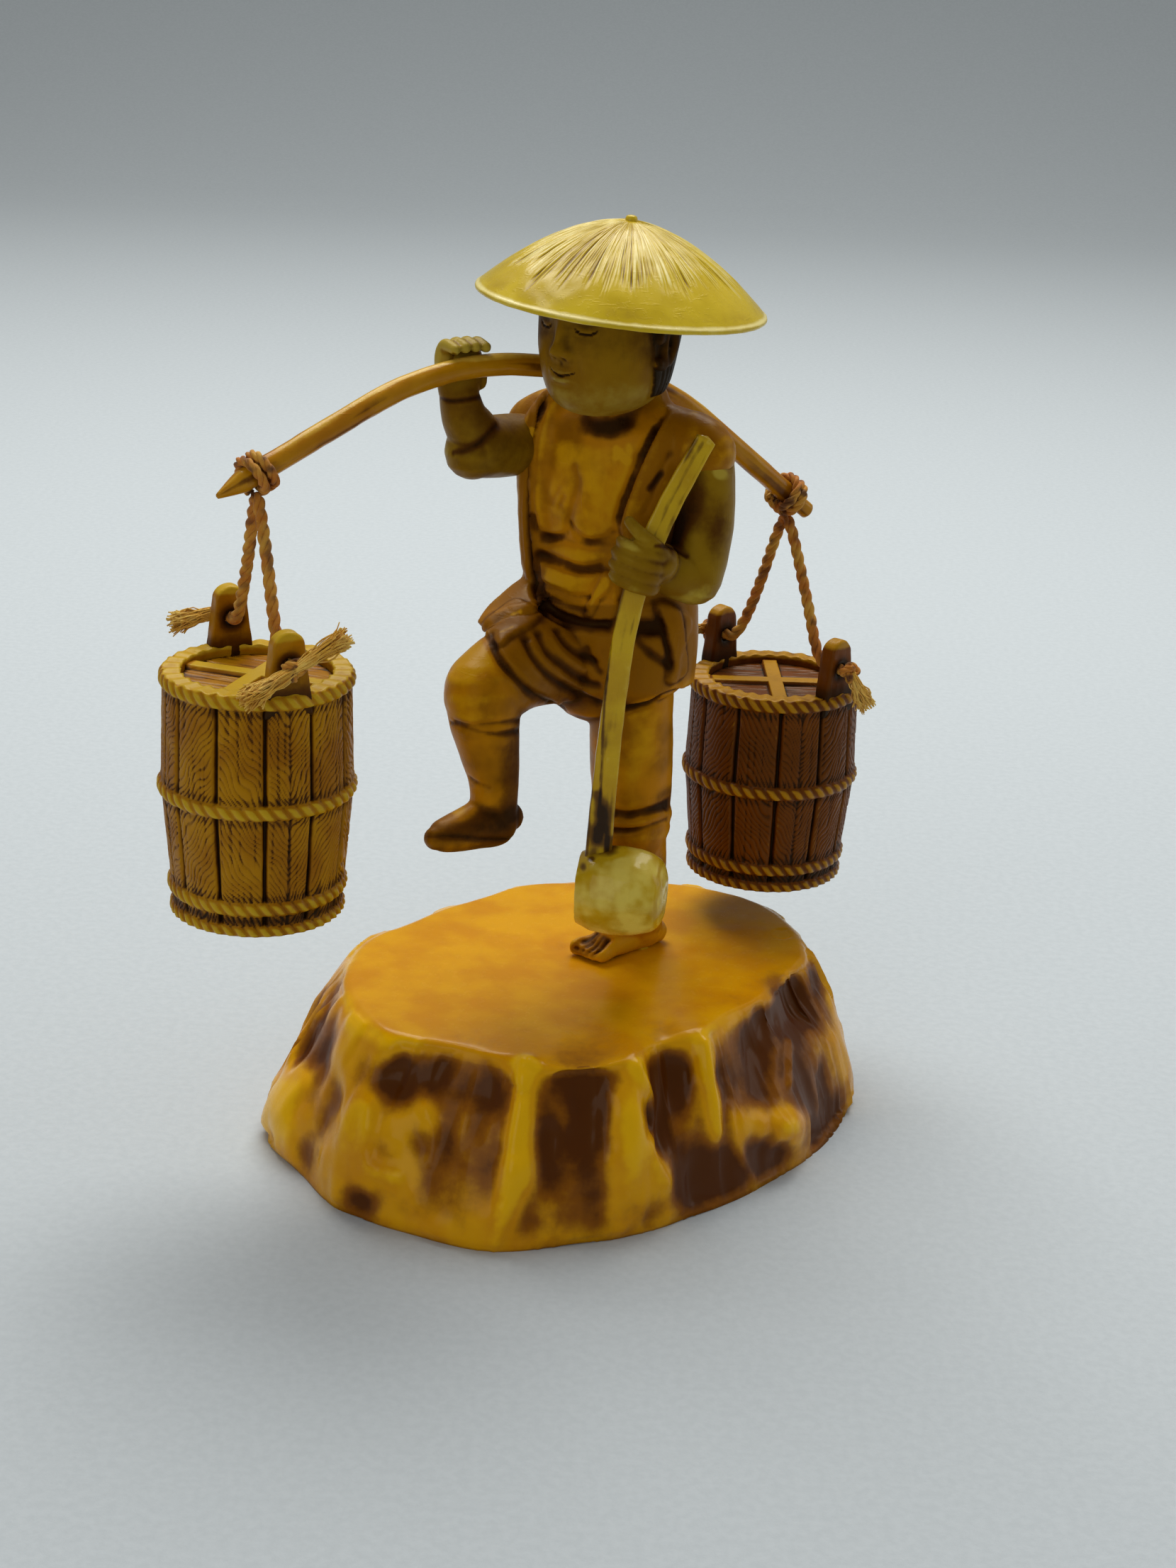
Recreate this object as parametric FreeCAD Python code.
import FreeCAD, Part
import math
import os

from FreeCAD import Vector

# A carved okimono in millimetres: a water carrier in a broad hat stands on one leg on a natural block.
# A bowed pole lies across the back of the shoulder, and a lidded tub hangs on a cord at each end.
# The origin is the centre of the block's underside, +Z is up, and the carving is seen from -Y.

UP = Vector(0, 0, 1)
OVERRUN = 4.0
RUNNING_CLEARANCE = 0.08
HANGING_CLEARANCE = 0.3
FLAT_LIMIT = 1e-7
LIMB_FLAT_COUNT = 12
TORSO_FLAT_COUNT = 16
ROUND_FLAT_COUNT = 20
SMALL_FLAT_COUNT = 8

# Block
BASE_HEIGHT = 20.0
BASE_FOOT_RADIUS = 34.0
BASE_TOP_RADIUS = 26.5
BASE_RIM_ROLL = 1.3
BASE_BULGE = 1.4
base_foot_shares = [0.985, 1.08, 1.09, 1.10, 1.075, 1.03, 1.0, 0.97, 0.93, 0.91, 0.94, 1.0,
                    1.06, 1.085, 1.05, 1.07, 1.03, 1.02, 0.94, 0.88, 0.835, 0.825, 0.84, 0.90]
base_top_shares = [0.945, 1.095, 1.17, 1.225, 1.19, 1.115, 1.03, 1.0, 0.905, 0.885, 0.885, 0.96,
                   0.99, 1.03, 1.05, 1.065, 0.96, 0.96, 0.99, 0.93, 0.79, 0.815, 0.79, 0.86]
FLUTE_RADIUS = 2.6
FLUTE_DEPTH = 1.2
# Bearing in degrees, lower end and upper end as shares of the block's height.
flute_shares = [(-68, 0.10, 0.84), (-88, 0.06, 0.86), (-113, 0.30, 0.88), (-38, 0.32, 0.90),
                (-17, 0.30, 0.86), (-150, 0.10, 0.70), (8, 0.10, 0.75), (40, 0.12, 0.80),
                (75, 0.20, 0.85), (118, 0.10, 0.80), (160, 0.15, 0.85)]
PIT_RADIUS = 1.5
PIT_DEPTH = 2.6
PIT_BEARING = -57
pit_height_share = 0.42
KNOB_RADIUS = 3.4
KNOB_BEARING = -30
knob_height_share = 0.42
PLUG_RADIUS = 1.25
PLUG_LENGTH = 4.0
PLUG_BEARING = 26.84
plug_share = 1.07

# Figure: its axis stands on the block, and it faces towards the viewer's left
FIGURE_X = 1.8
FIGURE_Y = 4.5
FIGURE_TURN = 28
LEG_HEIGHT = 31.5
LEG_RADIUS = 4.6
SHIN_RADIUS = 3.9
ANKLE_RADIUS = 2.7
THIGH_REACH = 17.0
THIGH_RADIUS = 5.2
KNEE_RADIUS = 4.3
CALF_HEIGHT = 11.8
CALF_RADIUS = 3.1
CUFF_THICKNESS = 0.45
CUFF_HEIGHT = 1.3
CUFF_ROLL_COUNT = 2
FOOT_LENGTH = 11.4
FOOT_WIDTH = 4.6
FOOT_HEIGHT = 3.2
FOOT_TURN = 24
TOE_RADIUS = 0.62
# Toes: place across the foot, tip along it and size, from the little toe to the big one.
toe_shares = [(0.8, 0.70, 1.0), (0.4, 0.718, 1.0), (0, 0.736, 1.0), (-0.4, 0.754, 1.0), (-0.8, 0.772, 1.35)]
SHOE_HEIGHT = 4.6
SHOE_LENGTH = 12.8
TORSO_HEIGHT = 35.5
TORSO_HALF_WIDTH = 11.0
TORSO_HALF_DEPTH = 6.2
# Torso stations: height, half width, half depth and forward shift, as shares of the torso's sizes.
torso_shares = [(0.0, 0.62, 0.66, 0.0), (0.08, 0.90, 1.0, 0.0), (0.28, 0.99, 1.08, 0.02),
                (0.40, 0.95, 1.0, 0.04), (0.55, 0.95, 0.97, 0.02), (0.75, 1.0, 1.0, 0.05),
                (0.90, 1.02, 0.98, 0.03), (0.985, 0.92, 0.86, -0.02), (1.04, 0.62, 0.68, -0.05),
                (1.085, 0.36, 0.54, 0.20)]
skirt_shares = torso_shares[1:4]
jacket_shares = torso_shares[2:9]
NECK_RADIUS = 3.3
NECK_FORWARD = 3.6
NECK_LEFT = 1.2
JACKET_THICKNESS = 0.8
LAPEL_WIDTH = 2.4
LAPEL_THICKNESS = 0.5
JACKET_OPENING = 11.5
SKIRT_FLARE = 0.7
SASH_THICKNESS = 0.7
SASH_BAND_HEIGHT = 2.0
SASH_BAND_COUNT = 3
TAB_WIDTH = 5.0
TAB_LENGTH = 8.0
TAB_THICKNESS = 1.2

# Head and hat
HEAD_HALF_WIDTH = 7.7
HEAD_HALF_DEPTH = 7.6
HEAD_HEIGHT = 20.0
# Head stations: height, half width, half depth and forward shift, as shares of the head's sizes.
head_shares = [(0.0, 0.38, 0.40, 0.26), (0.06, 0.60, 0.64, 0.16), (0.18, 0.80, 0.80, 0.06),
               (0.34, 0.94, 0.92, 0.02), (0.50, 1.0, 1.0, 0.0), (0.68, 0.98, 0.98, 0.0),
               (0.84, 0.84, 0.84, 0.0), (1.0, 0.50, 0.50, 0.0)]
HEAD_TURN = 42
HEAD_X = 0.8
HEAD_Y = -3.0
CHIN_RISE = 0.8
NOSE_LENGTH = 3.2
NOSE_WIDTH = 2.0
NOSE_DEPTH = 1.2
EAR_RADIUS = 1.5
EAR_THICKNESS = 0.8
HAIR_THICKNESS = 0.45
HAT_RADIUS = 15.9
HAT_RISE = 8.6
HAT_THICKNESS = 0.9
HAT_TILT = 4.5
HAT_SHIFT = 1.9
HAT_FLAT_COUNT = 36
HAT_PEG_RADIUS = 0.65
HAT_PEG_LENGTH = 6.0
HAT_PEG_NUB = 0.5
NECK_PEG_RADIUS = 1.1
NECK_PEG_LENGTH = 6.0
ARM_PEG_RADIUS = 1.0
ARM_PEG_LENGTH = 5.0
FOOT_DOWEL_RADIUS = 1.2
FOOT_DOWEL_LENGTH = 7.0

# Pole
POLE_RADIUS = 1.25
POLE_SPAN = 75.8
POLE_DROP = 22.4
POLE_BEND = 36.0
POLE_FLAT_COUNT = 16
POLE_ARC_STEP_COUNT = 5
POLE_POINT = 3.4
HALVING_COUNT = 40
POLE_TIP_RADIUS = 0.35
POLE_TURN = 34.3
POLE_OFFSET = 4.5
POLE_LEFT_REACH = 41.3
POLE_ABOVE_SHOULDER = 6.4
# Corners of the bow: shares of the span from the pointed front end, and of the drop below the top.
pole_shares = [(0, 0.491), (0.3206, 0), (0.6768, 0.156), (1.0, 1.0)]
front_hitch_share = 0.0215
rear_hitch_share = 0.954

# Arms and ladle
UPPER_ARM_RADIUS = 4.0
ELBOW_RADIUS = 3.3
FOREARM_RADIUS = 2.2
FIST_HALF_WIDTH = 2.7
FIST_HEIGHT = 5.6
FINGER_RADIUS = 0.72
FINGER_COUNT = 4
GRIP_SETBACK = 2.0
right_grip_share = 0.361
ELBOW_DROP = 8.8
LEFT_ELBOW_DROP = 17.8
HANDLE_WIDTH = 2.6
HANDLE_THICKNESS = 1.3
HANDLE_BELOW_SHOULDER = 0.16
# Points of the ladle's handle from the cup upwards, as shares of its length.
handle_shares = [(-0.018, 0, -0.03), (-0.012, -0.018, 0.13), (0, -0.04, 0.34), (0.018, -0.055, 0.54),
                 (0.05, -0.048, 0.69), (0.104, -0.012, 0.83), (0.182, 0.03, 0.98)]
CUP_RADIUS = 5.2
CUP_MOUTH_RADIUS = 4.5
CUP_LENGTH = 10.0
CUP_WALL = 0.8
CUP_TURN = 8
CUP_X = 5.3
CUP_Y = -5.6
CUP_RISE = 12.4

# Tubs
TUB_RADIUS = 10.1
TUB_BELLY_RADIUS = 10.4
TUB_FOOT_RADIUS = 9.1
FRONT_TUB_HEIGHT = 27.5
REAR_TUB_HEIGHT = 25.0
STAVE_COUNT = 12
STAVE_GROOVE_WIDTH = 0.9
STAVE_GROOVE_DEPTH = 0.55
HOOP_HEIGHT = 1.7
HOOP_PROUD = 0.45
hoop_height_shares = [0, 0.12, 0.545, 1]
belly_share = 0.545
LID_RECESS = 1.0
LID_THICKNESS = 1.4
LID_STRIP_WIDTH = 1.5
LID_STRIP_HEIGHT = 0.5
LID_CLEARANCE = 0.05
LID_FLAT_COUNT = 24
EAR_HEIGHT = 6.8
EAR_BASE_WIDTH = 5.3
EAR_TOP_WIDTH = 3.6
EAR_WALL = 1.9
EAR_HOLE_DROP = 3.6
FRONT_EAR_BEARING = -63
REAR_EAR_BEARING = -43

# Cords
CORD_RADIUS = 0.7
CORD_BEND = 1.5
CORD_FLAT_COUNT = 10
CORD_ARC_STEP_COUNT = 4
FRONT_TUB_RISE = 14.24
REAR_TUB_RISE = 5.89
HITCH_TURN_COUNT = 2
KNOT_RADIUS = 1.35
KNOT_LENGTH = 2.0
FRAY_ROOT_RADIUS = 0.55
FRAY_END_RADIUS = 1.3
FRAY_LENGTH = 7.0
# Frayed ends: which ear, then the direction as outward, sideways and upward shares, and the length share.
front_fray_shares = [(0, 0.35, 0.75, 0.6, 1.0), (0, 0.15, -0.75, -0.3, 1.0), (180, 0.55, -0.5, 0.1, 0.9)]
rear_fray_shares = [(0, 0.25, 0.35, -0.85, 0.75), (180, 0.7, 0.4, 0.2, 0.9)]

BODY_ORIGIN = Vector(FIGURE_X, FIGURE_Y, BASE_HEIGHT)


def turned(bearing):
    angle = math.radians(bearing)
    return Vector(math.cos(angle), math.sin(angle), 0)


def facing(turn):
    """Return the forward and left directions of something turned to the viewer's left."""
    forward = turned(-90 - turn)
    return forward, UP.cross(forward)


FORWARD, LEFT = facing(FIGURE_TURN)
POLE_WAY = turned(POLE_TURN)
POLE_SIDE = UP.cross(POLE_WAY)


def in_figure(left, forward, up):
    return BODY_ORIGIN + LEFT * left + FORWARD * forward + UP * up


def oval(centre, across, fore, half_across, half_fore, count=LIMB_FLAT_COUNT):
    """Return a many-sided oval outline in the plane of two directions."""
    points = []
    for step in range(count):
        angle = 2 * math.pi * (step + 0.5) / count
        points.append(centre + across * (half_across * math.cos(angle)) + fore * (half_fore * math.sin(angle)))
    return points


def carved(outlines):
    """Join outlines with flat knife cuts into one solid."""
    faces = [Part.Face(Part.makePolygon(outline + outline[:1])) for outline in (outlines[0], outlines[-1])]
    for lower, upper in zip(outlines, outlines[1:]):
        count = len(lower)
        for index in range(count):
            after = (index + 1) % count
            corners = [lower[index], lower[after], upper[after], upper[index]]
            normal = (corners[1] - corners[0]).cross(corners[2] - corners[0])
            if abs((corners[3] - corners[0]).dot(normal)) <= FLAT_LIMIT * normal.Length:
                faces.append(Part.Face(Part.makePolygon(corners + corners[:1])))
            else:
                faces.append(Part.Face(Part.makePolygon([corners[0], corners[1], corners[2], corners[0]])))
                faces.append(Part.Face(Part.makePolygon([corners[0], corners[2], corners[3], corners[0]])))
    solid = Part.Solid(Part.Shell(faces))
    return solid if solid.Volume > 0 else Part.Solid(solid.Shells[0].reversed())


def limb(stations, across):
    """Join ovals along a bent path. A station is a centre, a half width and a half depth."""
    centres = [station[0] for station in stations]
    wires = []
    for index, (centre, half_across, half_fore) in enumerate(stations):
        before = centres[max(index - 1, 0)]
        after = centres[min(index + 1, len(centres) - 1)]
        incoming = (centre - before) if index else (after - centre)
        outgoing = (after - centre) if index < len(centres) - 1 else (centre - before)
        incoming.normalize()
        outgoing.normalize()
        along = (incoming + outgoing).normalize()
        mitre = math.sqrt((1 + incoming.dot(outgoing)) / 2)
        fore = along.cross(across).normalize()
        side = fore.cross(along).normalize()
        wires.append(oval(centre, side, fore, half_across, half_fore / mitre))
    return carved(wires)


def main_piece(shape):
    """Return the largest solid that a cut leaves."""
    return max(shape.Solids, key=lambda solid: solid.Volume)


def rod(start, end, radius):
    return Part.makeCylinder(radius, start.distanceToPoint(end), start, end - start)


def bent_runs(points, bend):
    """Return straight runs through corner points, joined by tangent arcs."""
    edges = []
    start = points[0]
    for before, corner, after in zip(points, points[1:], points[2:]):
        come = (corner - before).normalize()
        leave = (after - corner).normalize()
        turn = math.acos(max(-1.0, min(1.0, come.dot(leave))))
        setback = bend * math.tan(turn / 2)
        first = corner - come * setback
        last = corner + leave * setback
        middle = corner + (leave - come).normalize() * (bend / math.cos(turn / 2) - bend)
        edges += [Part.makeLine(start, first), Part.Arc(first, middle, last).toShape()]
        start = last
    edges.append(Part.makeLine(start, points[-1]))
    return edges


def bent_rod(points, bend, radius, flats, arc_steps):
    """Return a slim many-sided rod along straight runs and tangent arcs."""
    outlines = []
    side = (points[1] - points[0]).cross(points[2] - points[1]).normalize()
    for run in bent_runs(points, bend):
        steps = 0 if run.Curve.TypeId == "Part::GeomLine" else arc_steps
        if outlines and not steps:
            continue
        for step in range(steps + 1):
            place = run.FirstParameter + (run.LastParameter - run.FirstParameter) * step / max(steps, 1)
            way = run.tangentAt(place)
            outlines.append(oval(run.valueAt(place), side, way.cross(side), radius, radius, flats))
    way = (points[-1] - points[-2]).normalize()
    outlines.append(oval(points[-1], side, way.cross(side), radius, radius, flats))
    return outlines


def slab(centre, x_dir, y_dir, z_dir, size):
    """Return a box about a centre, with its edges along three given directions."""
    corner = centre - x_dir * (size[0] / 2) - y_dir * (size[1] / 2) - z_dir * (size[2] / 2)
    outline = [corner, corner + x_dir * size[0], corner + x_dir * size[0] + y_dir * size[1],
               corner + y_dir * size[1], corner]
    return Part.Face(Part.makePolygon(outline)).extrude(z_dir * size[2])


def spun(profile, centre, axis, radial, count=ROUND_FLAT_COUNT):
    """Return a many-sided solid of (radius, height) steps along an axis."""
    side = axis.cross(radial)
    return carved([oval(centre + axis * height, radial, side, radius, radius, count)
                   for radius, height in profile])


def hidden_peg(start, end, radius):
    """Return a whittled peg that stays out of sight in its two holes."""
    return small_rod(start, end, radius, radius)


def small_rod(start, end, start_radius, end_radius):
    """Return a many-sided rod for small carved things."""
    along = (end - start).normalize()
    across = along.cross(UP if abs(along.z) < 0.9 else POLE_WAY).normalize()
    fore = along.cross(across)
    return carved([oval(start, across, fore, start_radius, start_radius, SMALL_FLAT_COUNT),
                   oval(end, across, fore, end_radius, end_radius, SMALL_FLAT_COUNT)])


def base_loop(shares, radius, growth, height):
    count = len(shares)
    points = []
    for index, share in enumerate(shares):
        points.append(turned(360 * index / count) * (radius * share + growth) + UP * height)
    return points


def share_at(shares, bearing):
    count = len(shares)
    place = (bearing % 360) / 360 * count
    low = int(place) % count
    blend = place - int(place)
    return shares[low] * (1 - blend) + shares[(low + 1) % count] * blend


def base_sections():
    """Return the block's outlines from the ground up: height, shares, radius and growth."""
    middle_radius = (BASE_FOOT_RADIUS + BASE_TOP_RADIUS) / 2
    middle_shares = [(foot * BASE_FOOT_RADIUS + top * BASE_TOP_RADIUS) / (BASE_FOOT_RADIUS + BASE_TOP_RADIUS)
                     for foot, top in zip(base_foot_shares, base_top_shares)]
    return [(0, base_foot_shares, BASE_FOOT_RADIUS, -BASE_RIM_ROLL / 2),
            (BASE_RIM_ROLL, base_foot_shares, BASE_FOOT_RADIUS, 0),
            (BASE_HEIGHT / 2, middle_shares, middle_radius, BASE_BULGE),
            (BASE_HEIGHT - BASE_RIM_ROLL, base_top_shares, BASE_TOP_RADIUS, BASE_RIM_ROLL / 2),
            (BASE_HEIGHT, base_top_shares, BASE_TOP_RADIUS, -BASE_RIM_ROLL / 2)]


def base_surface(bearing, height_share, proud=0.0):
    """Return a point on the block's side, or standing proud of it."""
    height = BASE_HEIGHT * height_share
    sections = base_sections()
    for lower, upper in zip(sections, sections[1:]):
        if height <= upper[0]:
            break
    blend = (height - lower[0]) / (upper[0] - lower[0])
    reach = [share_at(section[1], bearing) * section[2] + section[3] for section in (lower, upper)]
    return turned(bearing) * (reach[0] * (1 - blend) + reach[1] * blend + proud) + UP * height


def make_base():
    block = carved([base_loop(shares, radius, growth, height)
                    for height, shares, radius, growth in base_sections()])
    knob_out = turned(KNOB_BEARING)
    knob = base_surface(KNOB_BEARING, knob_height_share)
    block = block.fuse(small_rod(knob - knob_out * KNOB_RADIUS, knob + knob_out * (KNOB_RADIUS / 2),
                                 KNOB_RADIUS, KNOB_RADIUS / 2))
    for bearing, low_share, high_share in flute_shares:
        middle_share = (low_share + high_share) / 2
        middle = base_surface(bearing, middle_share, FLUTE_RADIUS - FLUTE_DEPTH)
        for end_share in (low_share, high_share):
            end = base_surface(bearing, end_share, FLUTE_RADIUS / 2 - FLUTE_DEPTH / 4)
            block = block.cut(small_rod(middle, end, FLUTE_RADIUS, FLUTE_RADIUS / 2))
    pit_out = turned(PIT_BEARING)
    for lift in (0, PIT_RADIUS, -PIT_RADIUS):
        pit = base_surface(PIT_BEARING, pit_height_share) + UP * lift
        block = block.cut(small_rod(pit + pit_out * OVERRUN, pit - pit_out * PIT_DEPTH, PIT_RADIUS, PIT_RADIUS))
    return block.cut(make_base_plug()).cut(make_foot_dowel())


def make_base_plug():
    top = turned(PLUG_BEARING) * (BASE_TOP_RADIUS * plug_share) + UP * BASE_HEIGHT
    return rod(top - UP * PLUG_LENGTH, top, PLUG_RADIUS)


def standing_ankle():
    return in_figure(LEG_RADIUS * 0.87, -LEG_RADIUS * 1.15, FOOT_HEIGHT)


def make_foot_dowel():
    middle = standing_ankle() - UP * FOOT_HEIGHT
    half = UP * (FOOT_DOWEL_LENGTH / 2)
    return hidden_peg(middle - half, middle + half, FOOT_DOWEL_RADIUS)


def torso_shell(station_shares, growth):
    wires = []
    for up_share, wide_share, deep_share, shift_share in station_shares:
        centre = in_figure(0, TORSO_HALF_DEPTH * shift_share, LEG_HEIGHT + TORSO_HEIGHT * up_share)
        wires.append(oval(centre, LEFT, FORWARD, TORSO_HALF_WIDTH * wide_share + growth,
                          TORSO_HALF_DEPTH * deep_share + growth, TORSO_FLAT_COUNT))
    return carved(wires)


def opening_prism(extra):
    """Return the wedge in front of the chest where the jacket stands open."""
    top = LEG_HEIGHT + TORSO_HEIGHT
    waist = LEG_HEIGHT + TORSO_HEIGHT * 0.36
    half = JACKET_OPENING / 2
    shift = -TORSO_HALF_WIDTH * 0.1
    reach = TORSO_HALF_DEPTH + TORSO_HALF_WIDTH
    outline = [(-half - extra, waist - OVERRUN), (half + extra, waist - OVERRUN),
               (half + extra, waist + half), (half + extra - JACKET_THICKNESS, top - half),
               (half / 2 + extra / 2, top + NECK_RADIUS), (-half / 2 - extra / 2, top + NECK_RADIUS),
               (-half - extra + JACKET_THICKNESS, top - half)]
    points = [in_figure(left + shift, 0, up) for left, up in outline]
    return Part.Face(Part.makePolygon(points + points[:1])).extrude(FORWARD * reach)


def make_jacket():
    cloth = torso_shell(jacket_shares, JACKET_THICKNESS)
    lapel = torso_shell(jacket_shares, JACKET_THICKNESS + LAPEL_THICKNESS)
    lapel = lapel.common(opening_prism(LAPEL_WIDTH))
    skirt = torso_shell(skirt_shares, JACKET_THICKNESS + SKIRT_FLARE)
    behind = slab(in_figure(TORSO_HALF_WIDTH * 0.2, -TORSO_HALF_WIDTH * 0.85, LEG_HEIGHT + TORSO_HEIGHT / 2),
                  LEFT, FORWARD, UP, (TORSO_HALF_WIDTH * 3, TORSO_HALF_WIDTH * 2, TORSO_HEIGHT * 2))
    skirt = skirt.common(behind)
    return cloth.fuse(lapel).cut(opening_prism(0)).fuse(skirt)


def make_sash():
    """Return three cloth bands wound round the belly and the cord below them."""
    bands = []
    for step in range(SASH_BAND_COUNT):
        low = LEG_HEIGHT + TORSO_HEIGHT * 0.41 + SASH_BAND_HEIGHT * 1.25 * step
        centre = in_figure(0, TORSO_HALF_DEPTH * 0.04, low)
        wires = []
        for lift, grow in ((0, 0), (0.25, 1), (0.75, 1), (1, 0)):
            wires.append(oval(centre + UP * (SASH_BAND_HEIGHT * lift), LEFT, FORWARD,
                              TORSO_HALF_WIDTH * 0.94 + SASH_THICKNESS * grow,
                              TORSO_HALF_DEPTH * 0.97 + SASH_THICKNESS * grow, TORSO_FLAT_COUNT))
        bands.append(carved(wires))
    return bands


def make_standing_leg():
    shares = [(0.74, -0.27, 1.16, 1.0), (0.74, -0.27, 1.0, 1.0), (0.80, -0.42, 0.58, 0.95)]
    stations = []
    for left, forward, up, size in shares:
        stations.append((in_figure(LEG_RADIUS * left, LEG_RADIUS * forward, LEG_HEIGHT * up),
                         LEG_RADIUS * size, LEG_RADIUS * size))
    knee = in_figure(LEG_RADIUS * 0.80, LEG_RADIUS * -0.44, LEG_HEIGHT * 0.54)
    shin = in_figure(LEG_RADIUS * 0.82, LEG_RADIUS * -0.66, LEG_HEIGHT * 0.34)
    ankle = standing_ankle()
    stations += [(knee, SHIN_RADIUS, SHIN_RADIUS), (shin, SHIN_RADIUS, SHIN_RADIUS),
                 (ankle + UP * (ANKLE_RADIUS * 0.4), ANKLE_RADIUS, ANKLE_RADIUS),
                 (ankle - UP * ANKLE_RADIUS, ANKLE_RADIUS, ANKLE_RADIUS)]
    leg = limb(stations, LEFT)
    for step in range(CUFF_ROLL_COUNT):
        height = LEG_HEIGHT * 0.56 - CUFF_HEIGHT * 1.3 * step
        centre = in_figure(LEG_RADIUS * 0.80, LEG_RADIUS * -0.45, height)
        grown = LEG_RADIUS * 0.93 + CUFF_THICKNESS
        leg = leg.fuse(limb([(centre, grown, grown), (centre - UP * CUFF_HEIGHT, grown, grown)], LEFT))
    return leg


def make_bare_foot():
    """Return the bare foot with five toes that stands on the block."""
    forward, left = facing(FIGURE_TURN + FOOT_TURN)
    ankle = standing_ankle() - UP * FOOT_HEIGHT
    half = FOOT_WIDTH / 2
    stations = []
    for along_share, wide_share, high_share in ((-0.24, 0.45, 0.5), (-0.14, 0.68, 1.0), (0.12, 0.78, 1.15),
                                                (0.42, 1.0, 0.78), (0.62, 1.0, 0.55)):
        centre = ankle + forward * (FOOT_LENGTH * along_share) + UP * (FOOT_HEIGHT * high_share / 2)
        stations.append(oval(centre, left, UP, half * wide_share, FOOT_HEIGHT * high_share / 2))
    foot = carved(stations)
    for across_share, tip_share, size in toe_shares:
        across = left * (half * across_share)
        radius = TOE_RADIUS * size
        root = ankle + across + forward * (FOOT_LENGTH * 0.55) + UP * (radius * 1.15)
        tip = ankle + across + forward * (FOOT_LENGTH * tip_share) + UP * radius
        foot = foot.fuse(small_rod(root, tip, radius, radius))
    sole = slab(ankle - UP * OVERRUN, left, forward, UP, (FOOT_LENGTH * 2, FOOT_LENGTH * 3, OVERRUN * 2))
    return foot.cut(sole)


def knee_point():
    return in_figure(-LEG_RADIUS * 1.33, THIGH_REACH, LEG_HEIGHT + KNEE_RADIUS * 1.15)


def make_raised_leg():
    hip = in_figure(-LEG_RADIUS * 0.62, 0, LEG_HEIGHT + THIGH_RADIUS * 1.25)
    knee = knee_point()
    ankle = knee + LEFT * (CALF_RADIUS * 0.62) - UP * CALF_HEIGHT
    thigh_way = (knee - hip).normalize()
    across = (knee - hip).cross(ankle - knee).normalize()
    leg = limb([(hip, THIGH_RADIUS, THIGH_RADIUS), (hip + thigh_way * THIGH_RADIUS, THIGH_RADIUS, THIGH_RADIUS),
                (knee - thigh_way * KNEE_RADIUS, KNEE_RADIUS * 1.1, KNEE_RADIUS * 1.1),
                (knee, KNEE_RADIUS, KNEE_RADIUS),
                (knee + (ankle - knee) * 0.4, CALF_RADIUS * 1.15, CALF_RADIUS * 1.2),
                (knee + (ankle - knee) * 0.78, CALF_RADIUS, CALF_RADIUS),
                (ankle, CALF_RADIUS * 0.95, CALF_RADIUS), (ankle - UP * CALF_RADIUS, CALF_RADIUS, CALF_RADIUS)],
               across)
    band = knee + (ankle - knee) * 0.34
    grown = CALF_RADIUS * 1.25 + CUFF_THICKNESS
    leg = leg.fuse(limb([(band, grown, grown), (band - UP * CUFF_HEIGHT, grown, grown)], across))
    return leg.fuse(make_shoe(ankle))


def make_shoe(ankle):
    forward, left = facing(FIGURE_TURN + FOOT_TURN)
    half = FOOT_WIDTH / 2
    drop = -UP * CALF_RADIUS
    stations = []
    for along_share, wide_share, high_share, lift_share in (
            (-0.32, 0.75, 0.55, -0.10), (-0.26, 1.0, 0.95, -0.05), (0.0, 1.05, 1.15, 0.0), (0.3, 1.0, 0.95, -0.08),
            (0.52, 0.9, 0.78, -0.14), (0.64, 0.55, 0.45, -0.17)):
        centre = ankle + drop + forward * (SHOE_LENGTH * along_share) + UP * (SHOE_HEIGHT * lift_share)
        stations.append(oval(centre, left, UP, half * wide_share, SHOE_HEIGHT * high_share / 2))
    return carved(stations)


def make_tab():
    """Return the jacket's front corner, folded flat over the raised thigh."""
    root = in_figure(-TORSO_HALF_WIDTH * 0.62, TORSO_HALF_DEPTH * 0.75, LEG_HEIGHT + TORSO_HEIGHT * 0.39)
    way = (FORWARD * 0.75 - LEFT * 0.35 - UP * 0.45).normalize()
    across = way.cross(UP).normalize()
    normal = across.cross(way)
    return slab(root + way * (TAB_LENGTH * 0.3), across, way, normal, (TAB_WIDTH, TAB_LENGTH, TAB_THICKNESS))


def neck_centre():
    return in_figure(NECK_LEFT, NECK_FORWARD, LEG_HEIGHT + TORSO_HEIGHT)


def make_neck():
    root = neck_centre()
    return limb([(root - UP * NECK_RADIUS, NECK_RADIUS * 1.3, NECK_RADIUS * 1.3),
                 (root, NECK_RADIUS, NECK_RADIUS), (head_foot() + UP * CHIN_RISE, NECK_RADIUS, NECK_RADIUS)], LEFT)


def head_foot():
    """Return the point under the head's middle at the height of the chin."""
    return Vector(HEAD_X, HEAD_Y, BASE_HEIGHT + LEG_HEIGHT + TORSO_HEIGHT + CHIN_RISE)


def head_station(height_share, wide_share, deep_share, shift_share, growth=0.0):
    forward, left = facing(HEAD_TURN)
    centre = head_foot() + forward * (HEAD_HALF_DEPTH * shift_share) + UP * (HEAD_HEIGHT * height_share)
    return oval(centre, left, forward, HEAD_HALF_WIDTH * wide_share + growth,
                HEAD_HALF_DEPTH * deep_share + growth)


def face_point(height_share, out_share):
    forward = facing(HEAD_TURN)[0]
    return head_foot() + forward * (HEAD_HALF_DEPTH * out_share) + UP * (HEAD_HEIGHT * height_share)


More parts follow.
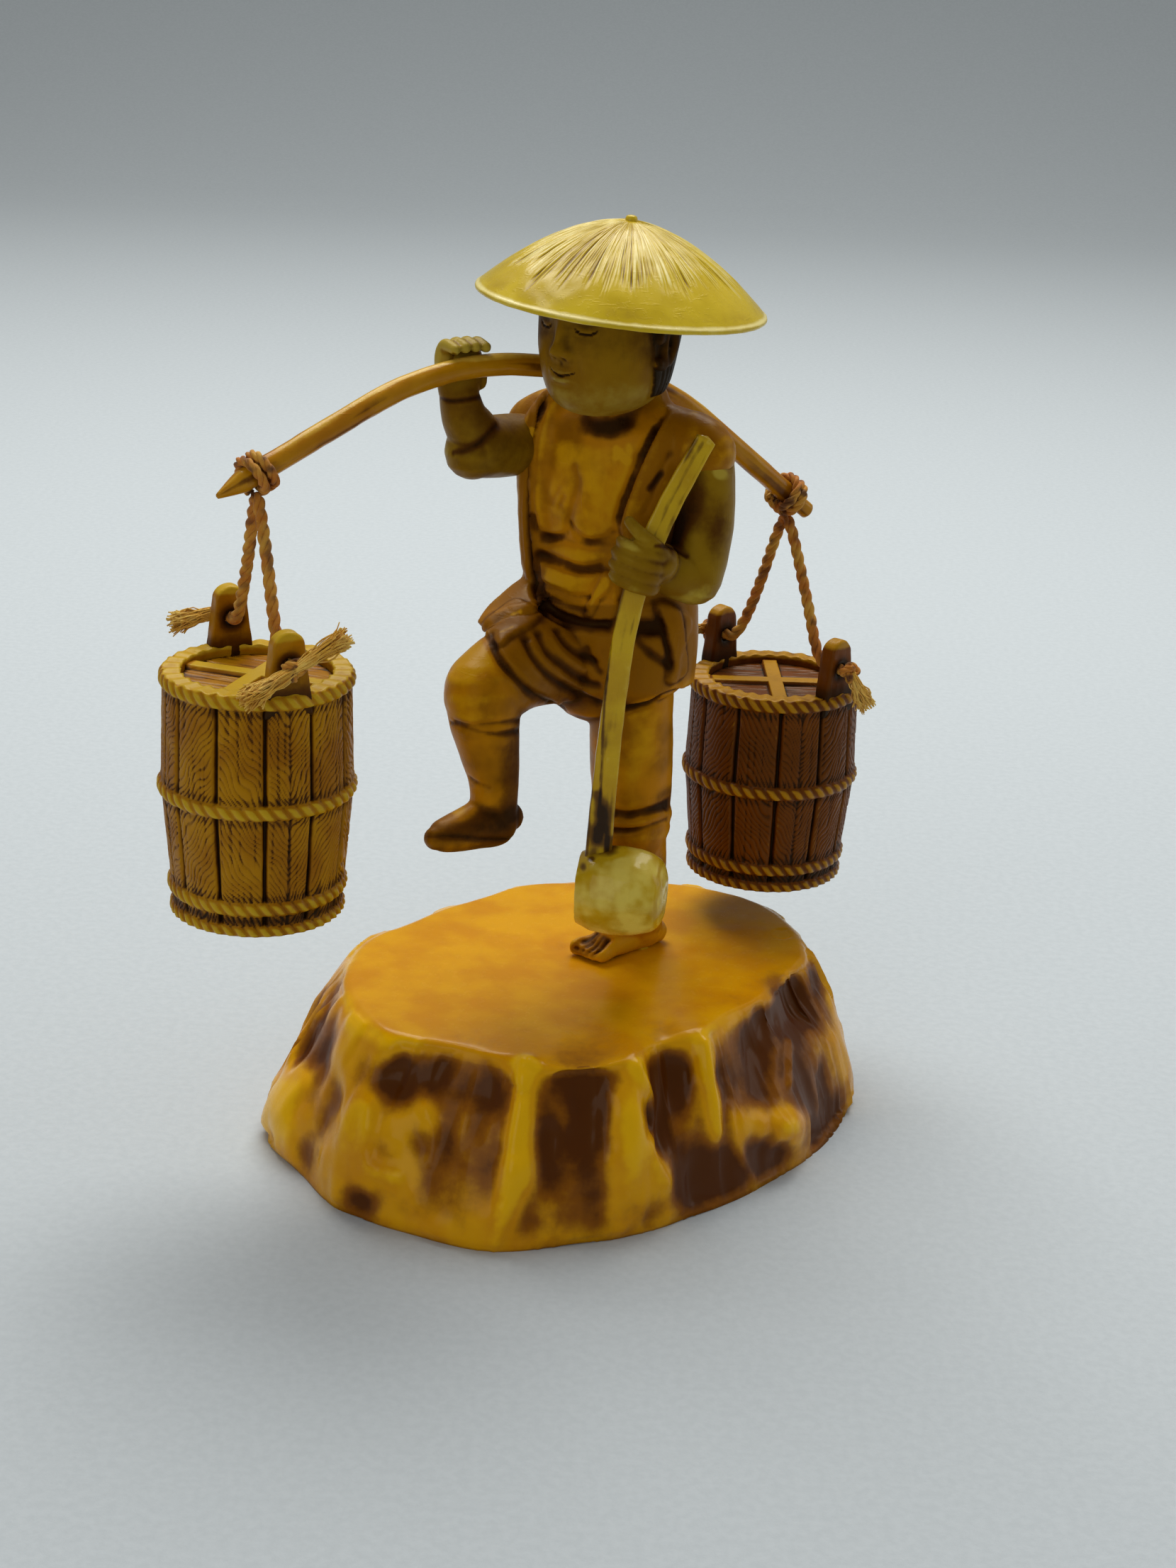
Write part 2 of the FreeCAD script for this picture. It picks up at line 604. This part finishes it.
def make_head(carved_body):
    forward, left = facing(HEAD_TURN)
    head = carved([head_station(*station) for station in head_shares])
    hair = carved([head_station(*station, growth=HAIR_THICKNESS) for station in head_shares[2:7]])
    behind = slab(head_foot() - forward * (HEAD_HALF_DEPTH * 0.85) + UP * (HEAD_HEIGHT / 2), left, forward, UP,
                  (HEAD_HALF_WIDTH * 4, HEAD_HALF_DEPTH * 1.5, HEAD_HEIGHT * 2))
    head = head.fuse(hair.common(behind))
    bridge = face_point(0.52, 0.93)
    tip = bridge - UP * NOSE_LENGTH + forward * (NOSE_DEPTH * 0.45)
    head = head.fuse(small_rod(bridge, tip, NOSE_WIDTH * 0.2, NOSE_WIDTH * 0.48))
    for side in (-1, 1):
        seat = face_point(0.40, -0.08) + left * (HEAD_HALF_WIDTH * 0.90 * side)
        head = head.fuse(small_rod(seat, seat + left * ((EAR_THICKNESS + HAIR_THICKNESS) * side),
                                   EAR_RADIUS, EAR_RADIUS * 0.7))
    return main_piece(head.cut(carved_body).cut(make_hat()).cut(make_neck_peg()).cut(make_hat_peg()))


def hat_frame():
    axis = Vector(math.sin(math.radians(HAT_TILT)), 0, math.cos(math.radians(HAT_TILT)))
    apex = head_foot() + UP * (HEAD_HEIGHT + HAT_THICKNESS) + Vector(HAT_SHIFT, 0, 0)
    return apex - axis * HAT_RISE, axis, Vector(axis.z, 0, -axis.x)


def make_hat():
    """Return the shallow hat, a thin shell of even thickness with a lip round its rim."""
    rim_centre, axis, radial = hat_frame()
    outer = [(HAT_RADIUS - HAT_THICKNESS / 4, -HAT_THICKNESS / 3), (HAT_RADIUS, HAT_THICKNESS / 4)]
    for share in (0.92, 0.80, 0.65, 0.48, 0.30, 0.12):
        outer.append((HAT_RADIUS * share, HAT_RISE * (1 - share ** 1.8)))
    inner_rise = HAT_RISE - HAT_THICKNESS
    inner = [(HAT_RADIUS, -HAT_THICKNESS)]
    for share in (0.96, 0.80, 0.60, 0.36, 0.12):
        inner.append((HAT_RADIUS * share, inner_rise * (1 - share ** 1.8) - HAT_THICKNESS / 3))
    hat = spun(outer, rim_centre, axis, radial, HAT_FLAT_COUNT)
    return hat.cut(spun(inner, rim_centre, axis, radial, HAT_FLAT_COUNT)).cut(make_hat_peg())


def make_hat_peg():
    rim_centre, axis, radial = hat_frame()
    top = rim_centre + axis * (HAT_RISE + HAT_PEG_NUB)
    return rod(top - axis * HAT_PEG_LENGTH, top, HAT_PEG_RADIUS)


def make_neck_peg():
    root = neck_centre() - UP * (NECK_PEG_LENGTH / 2)
    return hidden_peg(root, root + UP * NECK_PEG_LENGTH, NECK_PEG_RADIUS)


def pole_marks():
    """Return the corners of the pole's bow, from the pointed end to the blunt one."""
    shoulder = BASE_HEIGHT + LEG_HEIGHT + TORSO_HEIGHT
    top = shoulder + POLE_ABOVE_SHOULDER
    marks = []
    for span_share, drop_share in pole_shares:
        marks.append(POLE_WAY * (POLE_SPAN * span_share - POLE_LEFT_REACH) + POLE_SIDE * POLE_OFFSET
                     + UP * (top - POLE_DROP * drop_share))
    return marks


def pole_at(span_share):
    """Return the pole's centre and direction on its straight run or bend at a share of its span."""
    target = POLE_SPAN * span_share - POLE_LEFT_REACH
    for run in bent_runs(pole_marks(), POLE_BEND):
        low, high = run.FirstParameter, run.LastParameter
        if run.valueAt(high).dot(POLE_WAY) >= target:
            break
    for step in range(HALVING_COUNT):
        middle = (low + high) / 2
        if run.valueAt(middle).dot(POLE_WAY) < target:
            low = middle
        else:
            high = middle
    way = run.tangentAt(low)
    return run.valueAt(low), (way if way.dot(POLE_WAY) > 0 else way * -1)


def make_pole():
    """Return the bowed pole, pointed at its front end."""
    marks = pole_marks()
    way = (marks[0] - marks[1]).normalize()
    outlines = bent_rod(marks, POLE_BEND, POLE_RADIUS, POLE_FLAT_COUNT, POLE_ARC_STEP_COUNT)
    tip = [marks[0] + (point - marks[0]) * (POLE_TIP_RADIUS / POLE_RADIUS) + way * POLE_POINT
           for point in outlines[0]]
    return carved([tip] + outlines)


def right_grip():
    return pole_at(right_grip_share)[0]


def make_right_arm(carved_body):
    grip = right_grip()
    palm = grip + POLE_SIDE * GRIP_SETBACK - UP * (FINGER_RADIUS * 0.7)
    wrist = palm - UP * (FIST_HEIGHT / 2)
    shoulder = in_figure(-TORSO_HALF_WIDTH * 0.55, TORSO_HALF_DEPTH * 0.05, LEG_HEIGHT + TORSO_HEIGHT * 0.90)
    elbow = palm - UP * ELBOW_DROP + LEFT * (ELBOW_RADIUS * 0.55) + FORWARD * (ELBOW_RADIUS * -0.1)
    reach = elbow - shoulder
    across = reach.cross(wrist - elbow).normalize()
    arm = limb([(shoulder, UPPER_ARM_RADIUS, UPPER_ARM_RADIUS * 1.05),
                (shoulder + reach * 0.55, UPPER_ARM_RADIUS * 0.92, UPPER_ARM_RADIUS),
                (elbow - reach * 0.18, ELBOW_RADIUS, ELBOW_RADIUS * 1.12),
                (elbow + (wrist - elbow) * 0.06, ELBOW_RADIUS * 0.95, ELBOW_RADIUS),
                (elbow + (wrist - elbow) * 0.42, FOREARM_RADIUS * 1.15, FOREARM_RADIUS * 1.2),
                (wrist, FOREARM_RADIUS, FOREARM_RADIUS)], across)
    stations = []
    for up_share, wide_share, deep_share in ((0, 0.8, 0.72), (0.25, 1.0, 0.9), (0.75, 1.0, 0.95), (1.0, 0.85, 0.7)):
        stations.append(oval(wrist + UP * (FIST_HEIGHT * up_share), POLE_WAY, POLE_SIDE,
                             FIST_HALF_WIDTH * wide_share, FIST_HALF_WIDTH * deep_share))
    arm = arm.fuse(carved(stations))
    for finger in range(FINGER_COUNT):
        along = POLE_WAY * (FINGER_RADIUS * 1.75 * (finger - (FINGER_COUNT - 1) / 2))
        knuckle = grip + along + UP * (POLE_RADIUS + FINGER_RADIUS) + POLE_SIDE * (POLE_RADIUS * 0.8)
        tip = grip + along + UP * (POLE_RADIUS * 0.72) - POLE_SIDE * (POLE_RADIUS + FINGER_RADIUS * 0.2)
        arm = arm.fuse(small_rod(knuckle, tip, FINGER_RADIUS, FINGER_RADIUS))
    return main_piece(arm.cut(make_pole()).cut(carved_body).cut(make_arm_peg(-1)))


def make_arm_peg(side):
    height = LEG_HEIGHT + TORSO_HEIGHT * 0.88
    middle = in_figure(TORSO_HALF_WIDTH * 0.98 * side, 0, height)
    way = LEFT * side
    return hidden_peg(middle - way * (ARM_PEG_LENGTH / 2), middle + way * (ARM_PEG_LENGTH / 2), ARM_PEG_RADIUS)


def cup_centre():
    return Vector(CUP_X, CUP_Y, BASE_HEIGHT + CUP_RISE)


def handle_points():
    """Return the handle's points, from the cup up to the figure's shoulder."""
    foot = cup_centre() + Vector(-CUP_RADIUS * 0.42, 0, CUP_RADIUS * 0.95)
    length = BASE_HEIGHT + LEG_HEIGHT + TORSO_HEIGHT - HANDLE_BELOW_SHOULDER - foot.z
    return [foot + Vector(*share) * length for share in handle_shares]


def make_ladle_handle():
    points = handle_points()
    wires = []
    for index, centre in enumerate(points):
        along = (points[min(index + 1, len(points) - 1)] - points[max(index - 1, 0)]).normalize()
        broad = Vector(0, 1, 0).cross(along).normalize() * (HANDLE_WIDTH / 2)
        deep = along.cross(broad).normalize() * (HANDLE_THICKNESS / 2)
        wires.append([centre - broad - deep, centre - deep * 1.35, centre + broad - deep,
                      centre + broad + deep, centre - broad + deep])
    return main_piece(carved(wires).cut(make_ladle_cup()))


def make_ladle_cup():
    """Return the dipper's round cup, hollow, with its mouth towards the viewer's left."""
    axis = turned(-CUP_TURN)
    mouth = cup_centre() - axis * (CUP_LENGTH / 2)
    outer = [(CUP_MOUTH_RADIUS, 0), (CUP_RADIUS * 0.96, CUP_LENGTH * 0.22), (CUP_RADIUS, CUP_LENGTH * 0.5),
             (CUP_RADIUS * 0.93, CUP_LENGTH * 0.78), (CUP_RADIUS * 0.74, CUP_LENGTH * 0.94),
             (CUP_RADIUS * 0.45, CUP_LENGTH)]
    inner = [(CUP_MOUTH_RADIUS - CUP_WALL, -CUP_WALL), (CUP_MOUTH_RADIUS - CUP_WALL, 0),
             (CUP_RADIUS - CUP_WALL, CUP_LENGTH * 0.5), (CUP_RADIUS * 0.86 - CUP_WALL, CUP_LENGTH * 0.84),
             (CUP_RADIUS * 0.45, CUP_LENGTH - CUP_WALL)]
    return spun(outer, mouth, axis, UP).cut(spun(inner, mouth, axis, UP))


def left_grip():
    return handle_points()[4]


def make_left_arm(carved_body):
    grip = left_grip()
    shoulder = in_figure(TORSO_HALF_WIDTH * 1.04, 0, LEG_HEIGHT + TORSO_HEIGHT * 0.93)
    top = in_figure(TORSO_HALF_WIDTH * 1.07, 0, LEG_HEIGHT + TORSO_HEIGHT * 0.84)
    elbow = in_figure(TORSO_HALF_WIDTH * 1.06, TORSO_HALF_DEPTH * 0.22, LEG_HEIGHT + TORSO_HEIGHT - LEFT_ELBOW_DROP)
    hand = grip + LEFT * (-HANDLE_WIDTH * 0.2) + UP * (HANDLE_WIDTH * 0.2)
    reach = hand - elbow
    across = (elbow - top).cross(reach).normalize()
    arm = limb([(shoulder + UP * (UPPER_ARM_RADIUS * 0.2), UPPER_ARM_RADIUS * 0.45, UPPER_ARM_RADIUS * 0.45),
                (shoulder, UPPER_ARM_RADIUS * 0.72, UPPER_ARM_RADIUS * 0.72),
                (top, UPPER_ARM_RADIUS * 0.85, UPPER_ARM_RADIUS * 0.85),
                (top + (elbow - top) * 0.55, UPPER_ARM_RADIUS * 0.86, UPPER_ARM_RADIUS * 0.86),
                (elbow, ELBOW_RADIUS, ELBOW_RADIUS * 0.92),
                (elbow + reach * 0.42, FOREARM_RADIUS * 1.25, FOREARM_RADIUS * 1.25),
                (elbow + reach * 0.74, FOREARM_RADIUS * 0.95, FOREARM_RADIUS * 0.95)], across)
    reach.normalize()
    rise = across.cross(reach)
    stations = []
    for along_share, wide_share, high_share in ((-1.35, 0.75, 0.8), (-0.8, 0.9, 1.15), (0.3, 0.95, 1.25),
                                                (0.95, 0.6, 0.8)):
        stations.append(oval(hand + reach * (FIST_HALF_WIDTH * along_share), across, rise,
                             FIST_HALF_WIDTH * high_share, FIST_HALF_WIDTH * wide_share))
    arm = arm.fuse(carved(stations))
    for finger in range(FINGER_COUNT):
        low = UP * (FINGER_RADIUS * 1.7 * ((FINGER_COUNT - 1) / 2 - finger))
        front = grip + low + FORWARD * (HANDLE_THICKNESS / 2 + FINGER_RADIUS)
        arm = arm.fuse(small_rod(front + LEFT * (HANDLE_WIDTH * 0.8), front - LEFT * (HANDLE_WIDTH * 0.85),
                                 FINGER_RADIUS, FINGER_RADIUS * 0.9))
    thumb_root = hand + UP * (FIST_HALF_WIDTH * 0.6)
    thumb_tip = thumb_root + UP * (FINGER_RADIUS * 3) - LEFT * (FIST_HALF_WIDTH * 0.8)
    arm = arm.fuse(small_rod(thumb_root, thumb_tip, FINGER_RADIUS * 1.4, FINGER_RADIUS))
    return main_piece(arm.cut(make_ladle_handle()).cut(carved_body).cut(make_arm_peg(1)))


def make_carved_body():
    body = torso_shell(torso_shares, 0).fuse(make_jacket())
    for band in make_sash():
        body = body.fuse(band)
    for piece in (make_standing_leg(), make_bare_foot(), make_raised_leg(), make_tab(), make_neck()):
        body = body.fuse(piece)
    for tool in (make_pole(), make_foot_dowel(), make_arm_peg(-1), make_arm_peg(1), make_neck_peg()):
        body = body.cut(tool)
    return body


def tub_outline(radius, height, hooped):
    """Return the tub's outline: flat staves with V grooves between them, or a hoop bridging the grooves."""
    pitch = 360 / STAVE_COUNT
    gap = math.degrees(STAVE_GROOVE_WIDTH / TUB_RADIUS) / 2
    outer = radius + (HOOP_PROUD if hooped else 0)
    groove = outer if hooped else radius - STAVE_GROOVE_DEPTH
    points = []
    for stave in range(STAVE_COUNT):
        start = pitch * (stave + 0.5)
        points += [turned(start) * groove, turned(start + gap) * outer, turned(start + pitch - gap) * outer]
    return [point + UP * height for point in points]


def tub_radius_at(share):
    """Return the tub's radius, fullest at its middle hoop."""
    if share < belly_share:
        return TUB_FOOT_RADIUS + (TUB_BELLY_RADIUS - TUB_FOOT_RADIUS) * share / belly_share
    return TUB_BELLY_RADIUS + (TUB_RADIUS - TUB_BELLY_RADIUS) * (share - belly_share) / (1 - belly_share)


def tub_outlines(height):
    """Stack the tub's outlines from its foot to its rim, with a rounded hoop at each place."""
    outlines = [tub_outline(TUB_FOOT_RADIUS, 0, True)]
    for share in hoop_height_shares:
        radius = tub_radius_at(share)
        middle = height * share
        if share:
            outlines.append(tub_outline(radius, middle - HOOP_HEIGHT / 2, False))
            outlines.append(tub_outline(radius, middle - HOOP_HEIGHT / 4, True))
        outlines.append(tub_outline(radius, middle + HOOP_HEIGHT / 4, True))
        outlines.append(tub_outline(radius, middle + HOOP_HEIGHT / 2, False))
    return outlines


def make_ear(height, bearing):
    """Return one raised stave, tapered, with a rounded head and a hole for the cord."""
    out = turned(bearing)
    side = UP.cross(out)
    root = out * (TUB_RADIUS - EAR_WALL) + UP * (height - LID_RECESS - LID_THICKNESS)
    rise = EAR_HEIGHT + LID_RECESS + LID_THICKNESS
    shoulder = rise - EAR_TOP_WIDTH / 2
    left_foot = root - side * (EAR_BASE_WIDTH / 2)
    right_foot = root + side * (EAR_BASE_WIDTH / 2)
    left_top = root - side * (EAR_TOP_WIDTH / 2) + UP * shoulder
    right_top = root + side * (EAR_TOP_WIDTH / 2) + UP * shoulder
    outline = Part.Wire([Part.makeLine(left_foot, right_foot), Part.makeLine(right_foot, right_top),
                         Part.Arc(right_top, root + UP * rise, left_top).toShape(),
                         Part.makeLine(left_top, left_foot)])
    ear = Part.Face(outline).extrude(out * EAR_WALL)
    hole = root + UP * (rise - EAR_HOLE_DROP)
    return ear.cut(rod(hole - out * OVERRUN, hole + out * (EAR_WALL + OVERRUN), CORD_RADIUS + RUNNING_CLEARANCE))


def place(shape, centre, bearing):
    moved = shape.copy()
    moved.rotate(Vector(), UP, bearing)
    moved.translate(centre)
    return moved


def make_tub(height):
    outlines = tub_outlines(height - HOOP_HEIGHT / 2)
    tub = carved(outlines)
    floor = height - LID_RECESS - LID_THICKNESS
    radius = TUB_RADIUS - EAR_WALL
    tub = tub.cut(spun([(radius, floor), (radius, height + OVERRUN)], Vector(), UP, turned(0), LID_FLAT_COUNT))
    for bearing in (0, 180):
        tub = tub.fuse(make_ear(height, bearing))
    return tub


def make_lid(height):
    """Return the sunk lid with its two raised strips crossing."""
    radius = TUB_RADIUS - EAR_WALL - LID_CLEARANCE
    low = height - LID_RECESS - LID_THICKNESS
    lid = spun([(radius, low), (radius, low + LID_THICKNESS)], Vector(), UP, turned(0), LID_FLAT_COUNT)
    middle = UP * (low + LID_THICKNESS + LID_STRIP_HEIGHT / 2)
    inner = radius * math.cos(math.pi / LID_FLAT_COUNT)
    length = math.sqrt(inner ** 2 - (LID_STRIP_WIDTH / 2) ** 2) * 2
    for bearing in (45, 135):
        way = turned(bearing)
        lid = lid.fuse(slab(middle, way, UP.cross(way), UP, (length, LID_STRIP_WIDTH, LID_STRIP_HEIGHT)))
    return lid


def hitch_outer():
    return POLE_RADIUS + RUNNING_CLEARANCE + 2 * CORD_RADIUS


def make_hitch(hitch_share):
    """Return the turns of cord round the pole."""
    centre, way = pole_at(hitch_share)
    bore = POLE_RADIUS + RUNNING_CLEARANCE
    width = CORD_RADIUS * 2 * HITCH_TURN_COUNT
    profile = [(bore + CORD_RADIUS, -width / 2)]
    for turn in range(HITCH_TURN_COUNT):
        start = CORD_RADIUS * 2 * turn - width / 2
        profile += [(hitch_outer(), start + CORD_RADIUS), (bore + CORD_RADIUS, start + CORD_RADIUS * 2)]
    turns = spun(profile, centre, way, way.cross(POLE_SIDE).normalize())
    return turns.cut(rod(centre - way * width, centre + way * width, bore))


def hole_height(rise, height):
    """Return the height of a hung tub's ear holes, from the tub's rise above the block and its own height."""
    return BASE_HEIGHT + rise + height + EAR_HEIGHT - EAR_HOLE_DROP


def leg_points(hitch_share, hole_z, bearing):
    """Return one cord leg's route: under the hitch, down beside the ear, and out through its hole."""
    centre = pole_at(hitch_share)[0]
    out = turned(bearing)
    hole = Vector(centre.x, centre.y, hole_z)
    corner = TUB_RADIUS - EAR_WALL - HANGING_CLEARANCE - CORD_BEND
    top = centre - UP * (hitch_outer() + HANGING_CLEARANCE / 2)
    return [top + out * (CORD_RADIUS + HANGING_CLEARANCE),
            hole + out * corner,
            hole + out * (TUB_RADIUS + HANGING_CLEARANCE)]


def make_sling(hitch_share, hole_z, bearing):
    legs = [carved(bent_rod(leg_points(hitch_share, hole_z, bearing + turn), CORD_BEND, CORD_RADIUS,
                            CORD_FLAT_COUNT, CORD_ARC_STEP_COUNT)) for turn in (0, 180)]
    return Part.makeCompound(legs)


def make_knots(hitch_share, hole_z, bearing):
    knots = []
    for turn in (0, 180):
        out = turned(bearing + turn)
        seat = leg_points(hitch_share, hole_z, bearing + turn)[2]
        profile = [(KNOT_RADIUS * 0.75, 0), (KNOT_RADIUS, KNOT_LENGTH * 0.35),
                   (KNOT_RADIUS * 0.9, KNOT_LENGTH * 0.75), (KNOT_RADIUS * 0.45, KNOT_LENGTH)]
        knots.append(spun(profile, seat, out, UP, CORD_FLAT_COUNT))
    return Part.makeCompound(knots)



def make_frays(hitch_share, hole_z, bearing, shares):
    frays = []
    for turn, out_share, side_share, up_share, long_share in shares:
        out = turned(bearing + turn)
        way = (out * out_share + UP.cross(out) * side_share + UP * up_share).normalize()
        seat = leg_points(hitch_share, hole_z, bearing + turn)[2] + out * (KNOT_LENGTH * 0.5)
        root = seat + way * (KNOT_RADIUS * 1.02)
        frays.append(small_rod(root, root + way * (FRAY_LENGTH * long_share), FRAY_ROOT_RADIUS, FRAY_END_RADIUS))
    return Part.makeCompound(frays)


def hung_set(prefix, hitch_share, rise, height, bearing, fray_shares):
    centre = pole_at(hitch_share)[0]
    foot = Vector(centre.x, centre.y, BASE_HEIGHT + rise)
    hole_z = hole_height(rise, height)
    return {
        prefix + "_hitch": make_hitch(hitch_share),
        prefix + "_sling": make_sling(hitch_share, hole_z, bearing),
        prefix + "_knots": make_knots(hitch_share, hole_z, bearing),
        prefix + "_frays": make_frays(hitch_share, hole_z, bearing, fray_shares),
        prefix + "_tub": place(make_tub(height), foot, bearing),
        prefix + "_tub_lid": place(make_lid(height), foot, bearing),
    }


def make_nodes():
    carved_body = make_carved_body()
    nodes = {
        "base": make_base(),
        "base_plug": make_base_plug(),
        "foot_dowel": make_foot_dowel(),
        "body": carved_body,
        "neck_peg": make_neck_peg(),
        "head": make_head(carved_body),
        "hat": make_hat(),
        "hat_peg": make_hat_peg(),
        "right_arm": make_right_arm(carved_body),
        "right_arm_peg": make_arm_peg(-1),
        "left_arm": make_left_arm(carved_body),
        "left_arm_peg": make_arm_peg(1),
        "pole": make_pole(),
        "ladle_handle": make_ladle_handle(),
        "ladle_cup": make_ladle_cup(),
    }
    nodes.update(hung_set("front", front_hitch_share, FRONT_TUB_RISE, FRONT_TUB_HEIGHT, FRONT_EAR_BEARING,
                          front_fray_shares))
    nodes.update(hung_set("rear", rear_hitch_share, REAR_TUB_RISE, REAR_TUB_HEIGHT, REAR_EAR_BEARING,
                          rear_fray_shares))
    return nodes


os.makedirs("parts", exist_ok=True)
for name, shape in make_nodes().items():
    shape.exportStep("parts/" + name + ".step")
